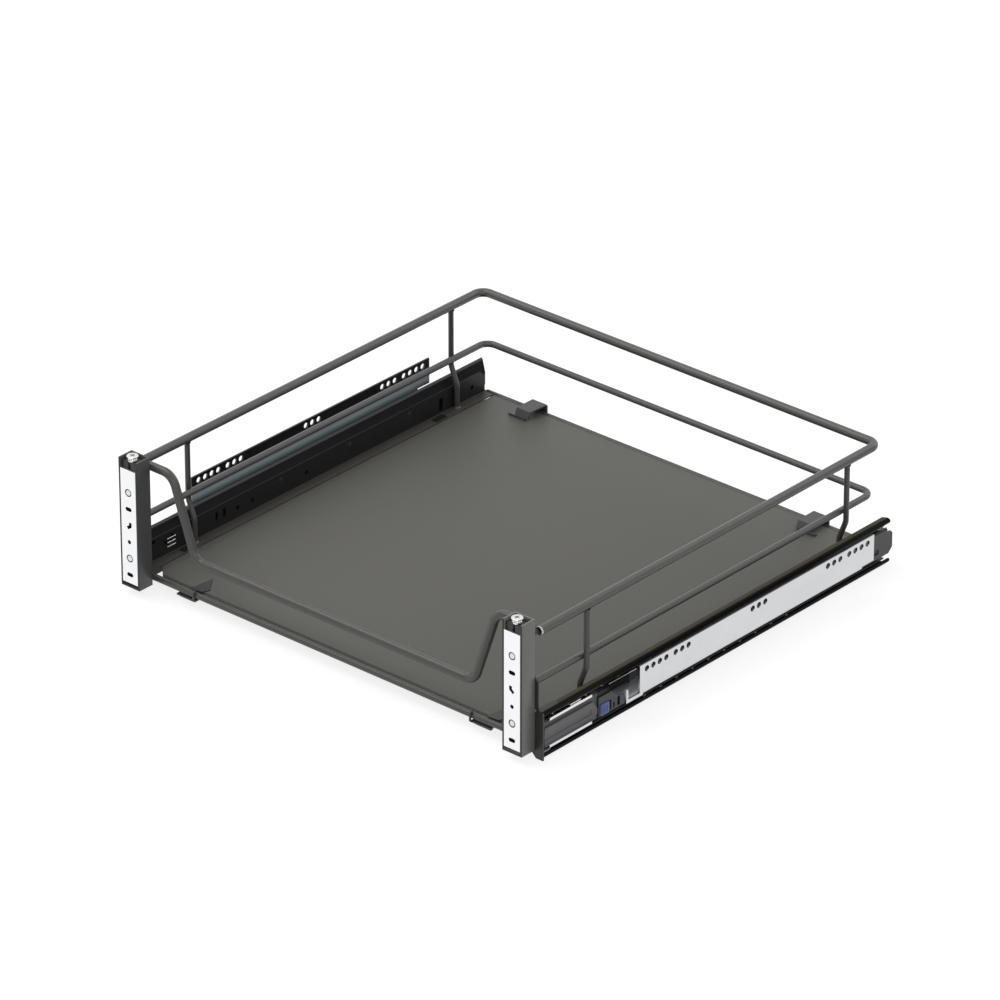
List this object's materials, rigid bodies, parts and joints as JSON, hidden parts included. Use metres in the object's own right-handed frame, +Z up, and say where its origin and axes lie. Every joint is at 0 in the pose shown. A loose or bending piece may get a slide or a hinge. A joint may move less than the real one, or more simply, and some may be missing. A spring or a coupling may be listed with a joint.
{
  "type": "telescopic pull-out drawer",
  "caption": "Kitchen cabinet pull-out: board floor in a round-wire gallery on full-extension ball slides, with front brackets whose door plates adjust in height.",
  "frame": {"origin": "centre of the overall foot print, at the underside of the drawer profiles", "axes": "+X across the cabinet to the right as seen from the door, +Y from the door to the rear, +Z up"},
  "size_m": [0.518, 0.484, 0.134],
  "materials": {
    "zinc_sheet": "zinc-plated, satin",
    "slide_steel": "black zinc plate, satin",
    "rivet_steel": "zinc-plated",
    "cover_plastic": "moulded, matt",
    "housing_plastic": "moulded, matt",
    "catch_plastic": "moulded, satin",
    "cage_steel": "bright zinc",
    "ball_steel": "polished",
    "stop_plastic": "moulded, matt",
    "graphite_sheet": "powder coat, satin graphite",
    "board_laminate": "melamine-faced board, matt graphite",
    "graphite_wire": "powder coat, satin graphite",
    "plug_steel": "bare steel",
    "block_plastic": "moulded, matt black",
    "screw_zinc": "bright zinc"
  },
  "bodies": {
    "cabinet_side": {"cabinet_bracket_left": "zinc_sheet", "cabinet_bracket_right": "zinc_sheet", "cabinet_profile_left": "slide_steel", "cabinet_profile_right": "slide_steel", "bracket_rivets": "rivet_steel", "profile_cover_left": "cover_plastic", "profile_cover_right": "cover_plastic", "catch_housing_left": "housing_plastic", "catch_housing_right": "housing_plastic", "catch_pins": "rivet_steel"},
    "drawer": {"drawer_profile_left": "slide_steel", "drawer_profile_right": "slide_steel", "end_stops": "stop_plastic", "side_rail_left": "graphite_sheet", "side_rail_right": "graphite_sheet", "end_brackets": "graphite_sheet", "rail_rivets": "graphite_sheet", "floor_board": "board_laminate", "under_bars": "graphite_wire", "front_bar": "graphite_wire", "back_bar": "graphite_wire", "front_clips": "graphite_sheet", "back_clips": "graphite_sheet", "top_rail": "graphite_wire", "middle_rail": "graphite_wire", "posts": "graphite_wire", "front_wire": "graphite_wire", "rail_plugs": "plug_steel", "front_bracket_left": "graphite_sheet", "front_bracket_right": "graphite_sheet", "screw_block_left": "block_plastic", "screw_block_right": "block_plastic", "clip_pads": "block_plastic"},
    "middle_left": {"middle_profile_left": "slide_steel"},
    "inner_cage_left": {"inner_cage_left": "cage_steel", "inner_balls_left": "ball_steel"},
    "outer_cage_left": {"outer_cage_left": "cage_steel", "outer_balls_left": "ball_steel"},
    "catch_left": {"catch_left": "catch_plastic"},
    "plate_left": {"fixing_plate_left": "zinc_sheet", "guide_bolts_left": "rivet_steel", "guide_bushes_left": "block_plastic"},
    "screw_left": {"adjusting_screw_left": "screw_zinc"},
    "middle_right": {"middle_profile_right": "slide_steel"},
    "inner_cage_right": {"inner_cage_right": "cage_steel", "inner_balls_right": "ball_steel"},
    "outer_cage_right": {"outer_cage_right": "cage_steel", "outer_balls_right": "ball_steel"},
    "catch_right": {"catch_right": "catch_plastic"},
    "plate_right": {"fixing_plate_right": "zinc_sheet", "guide_bolts_right": "rivet_steel", "guide_bushes_right": "block_plastic"},
    "screw_right": {"adjusting_screw_right": "screw_zinc"}
  },
  "joints": [
    {"name": "drawer_slide", "type": "slide", "parent": "cabinet_side", "child": "drawer", "axis": [0, -1, 0], "range_m": [0, 0.45]},
    {"name": "middle_slide_left", "type": "slide", "parent": "cabinet_side", "child": "middle_left", "axis": [0, -1, 0], "range_m": [0, 0.225]},
    {"name": "inner_cage_slide_left", "type": "slide", "parent": "cabinet_side", "child": "inner_cage_left", "axis": [0, -1, 0], "range_m": [0, 0.1125]},
    {"name": "outer_cage_slide_left", "type": "slide", "parent": "cabinet_side", "child": "outer_cage_left", "axis": [0, -1, 0], "range_m": [0, 0.3375]},
    {"name": "catch_turn_left", "type": "hinge", "parent": "cabinet_side", "child": "catch_left", "pos_m": [-0.238, -0.146, 0.0165], "axis": [1, 0, 0], "range_deg": [0, 5]},
    {"name": "screw_turn_left", "type": "hinge", "parent": "drawer", "child": "screw_left", "pos_m": [-0.21975, -0.2355, 0.12], "axis": [0, 0, 1], "range_deg": [-1126, 1126]},
    {"name": "plate_slide_left", "type": "slide", "parent": "drawer", "child": "plate_left", "axis": [0, 0, 1], "range_m": [-0.0025, 0.0025]},
    {"name": "middle_slide_right", "type": "slide", "parent": "cabinet_side", "child": "middle_right", "axis": [0, -1, 0], "range_m": [0, 0.225]},
    {"name": "inner_cage_slide_right", "type": "slide", "parent": "cabinet_side", "child": "inner_cage_right", "axis": [0, -1, 0], "range_m": [0, 0.1125]},
    {"name": "outer_cage_slide_right", "type": "slide", "parent": "cabinet_side", "child": "outer_cage_right", "axis": [0, -1, 0], "range_m": [0, 0.3375]},
    {"name": "catch_turn_right", "type": "hinge", "parent": "cabinet_side", "child": "catch_right", "pos_m": [0.238, -0.146, 0.0165], "axis": [1, 0, 0], "range_deg": [0, 5]},
    {"name": "screw_turn_right", "type": "hinge", "parent": "drawer", "child": "screw_right", "pos_m": [0.21975, -0.2355, 0.12], "axis": [0, 0, 1], "range_deg": [-1126, 1126]},
    {"name": "plate_slide_right", "type": "slide", "parent": "drawer", "child": "plate_right", "axis": [0, 0, 1], "range_m": [-0.0025, 0.0025]}
  ],
  "couplings": [
    {"joint": "middle_slide_left", "follows": "drawer_slide", "ratio": 0.5},
    {"joint": "inner_cage_slide_left", "follows": "drawer_slide", "ratio": 0.25},
    {"joint": "outer_cage_slide_left", "follows": "drawer_slide", "ratio": 0.75},
    {"joint": "screw_turn_left", "follows": "plate_slide_left", "rad_per_m": 7854},
    {"joint": "middle_slide_right", "follows": "drawer_slide", "ratio": 0.5},
    {"joint": "inner_cage_slide_right", "follows": "drawer_slide", "ratio": 0.25},
    {"joint": "outer_cage_slide_right", "follows": "drawer_slide", "ratio": 0.75},
    {"joint": "screw_turn_right", "follows": "plate_slide_right", "rad_per_m": 7854}
  ]
}
